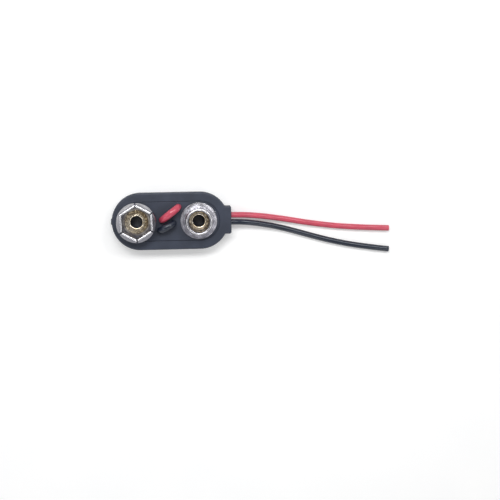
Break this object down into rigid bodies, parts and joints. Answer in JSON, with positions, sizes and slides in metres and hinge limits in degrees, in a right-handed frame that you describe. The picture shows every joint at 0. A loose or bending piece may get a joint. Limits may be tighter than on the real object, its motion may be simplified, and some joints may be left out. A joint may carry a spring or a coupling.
{
  "type": "battery snap connector",
  "caption": "Moulded snap connector for a nine volt block battery, with a hexagonal spring socket, a round stud and a red and a black lead.",
  "frame": {"origin": "below the middle of the moulding's length, at the level of its flat back, on the line through both contacts", "axes": "+X from the round nose to the lead end, +Y to the side of the red lead, +Z out of the contacts"},
  "size_m": [0.0578, 0.0135, 0.0074],
  "materials": {
    "moulding": "satin moulded, near black",
    "nickel": "bright nickel plate on pressed sheet",
    "rivet_brass": "dull plated brass",
    "tag_brass": "tinned brass",
    "red_insulation": "soft plastic insulation, red",
    "black_insulation": "soft plastic insulation, black",
    "copper": "bare stranded copper",
    "solder": "soft solder"
  },
  "bodies": {
    "root": {"shell": "moulding", "contact_plate": "moulding", "socket_contact": "nickel", "stud_contact": "nickel", "socket_rivet": "rivet_brass", "stud_rivet": "rivet_brass", "socket_tag": "tag_brass", "stud_tag": "tag_brass", "red_lead_loop": "red_insulation", "black_lead_loop": "black_insulation", "red_lead": "red_insulation", "black_lead": "black_insulation", "red_conductor": "copper", "black_conductor": "copper", "red_solder": "solder", "black_solder": "solder"}
  },
  "joints": []
}
